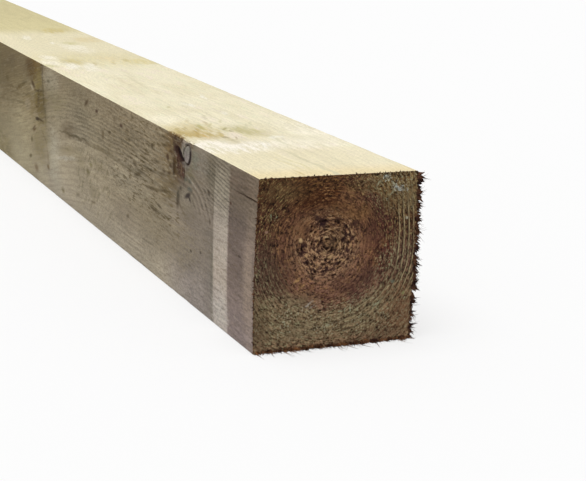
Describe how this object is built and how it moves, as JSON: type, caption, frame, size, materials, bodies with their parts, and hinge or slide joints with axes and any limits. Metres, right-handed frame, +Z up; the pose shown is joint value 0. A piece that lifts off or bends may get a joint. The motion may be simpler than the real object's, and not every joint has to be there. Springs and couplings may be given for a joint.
{
  "type": "treated wooden post",
  "caption": "Square sawn softwood post, pressure treated, heart boxed in, with an encased knot and a bark pocket at one edge, lying on one face.",
  "frame": {"origin": "centre of the post's resting face, on the floor under the middle of its length", "axes": "+X along the post towards the pictured sawn end, +Z up from the resting face, -Y out of the side with the encased knot"},
  "size_m": [2.4, 0.0999, 0.1],
  "materials": {
    "treated_softwood": "sawn, dry, matte, stained green and brown by the treatment"
  },
  "bodies": {
    "root": {"post": "treated_softwood"}
  },
  "joints": []
}
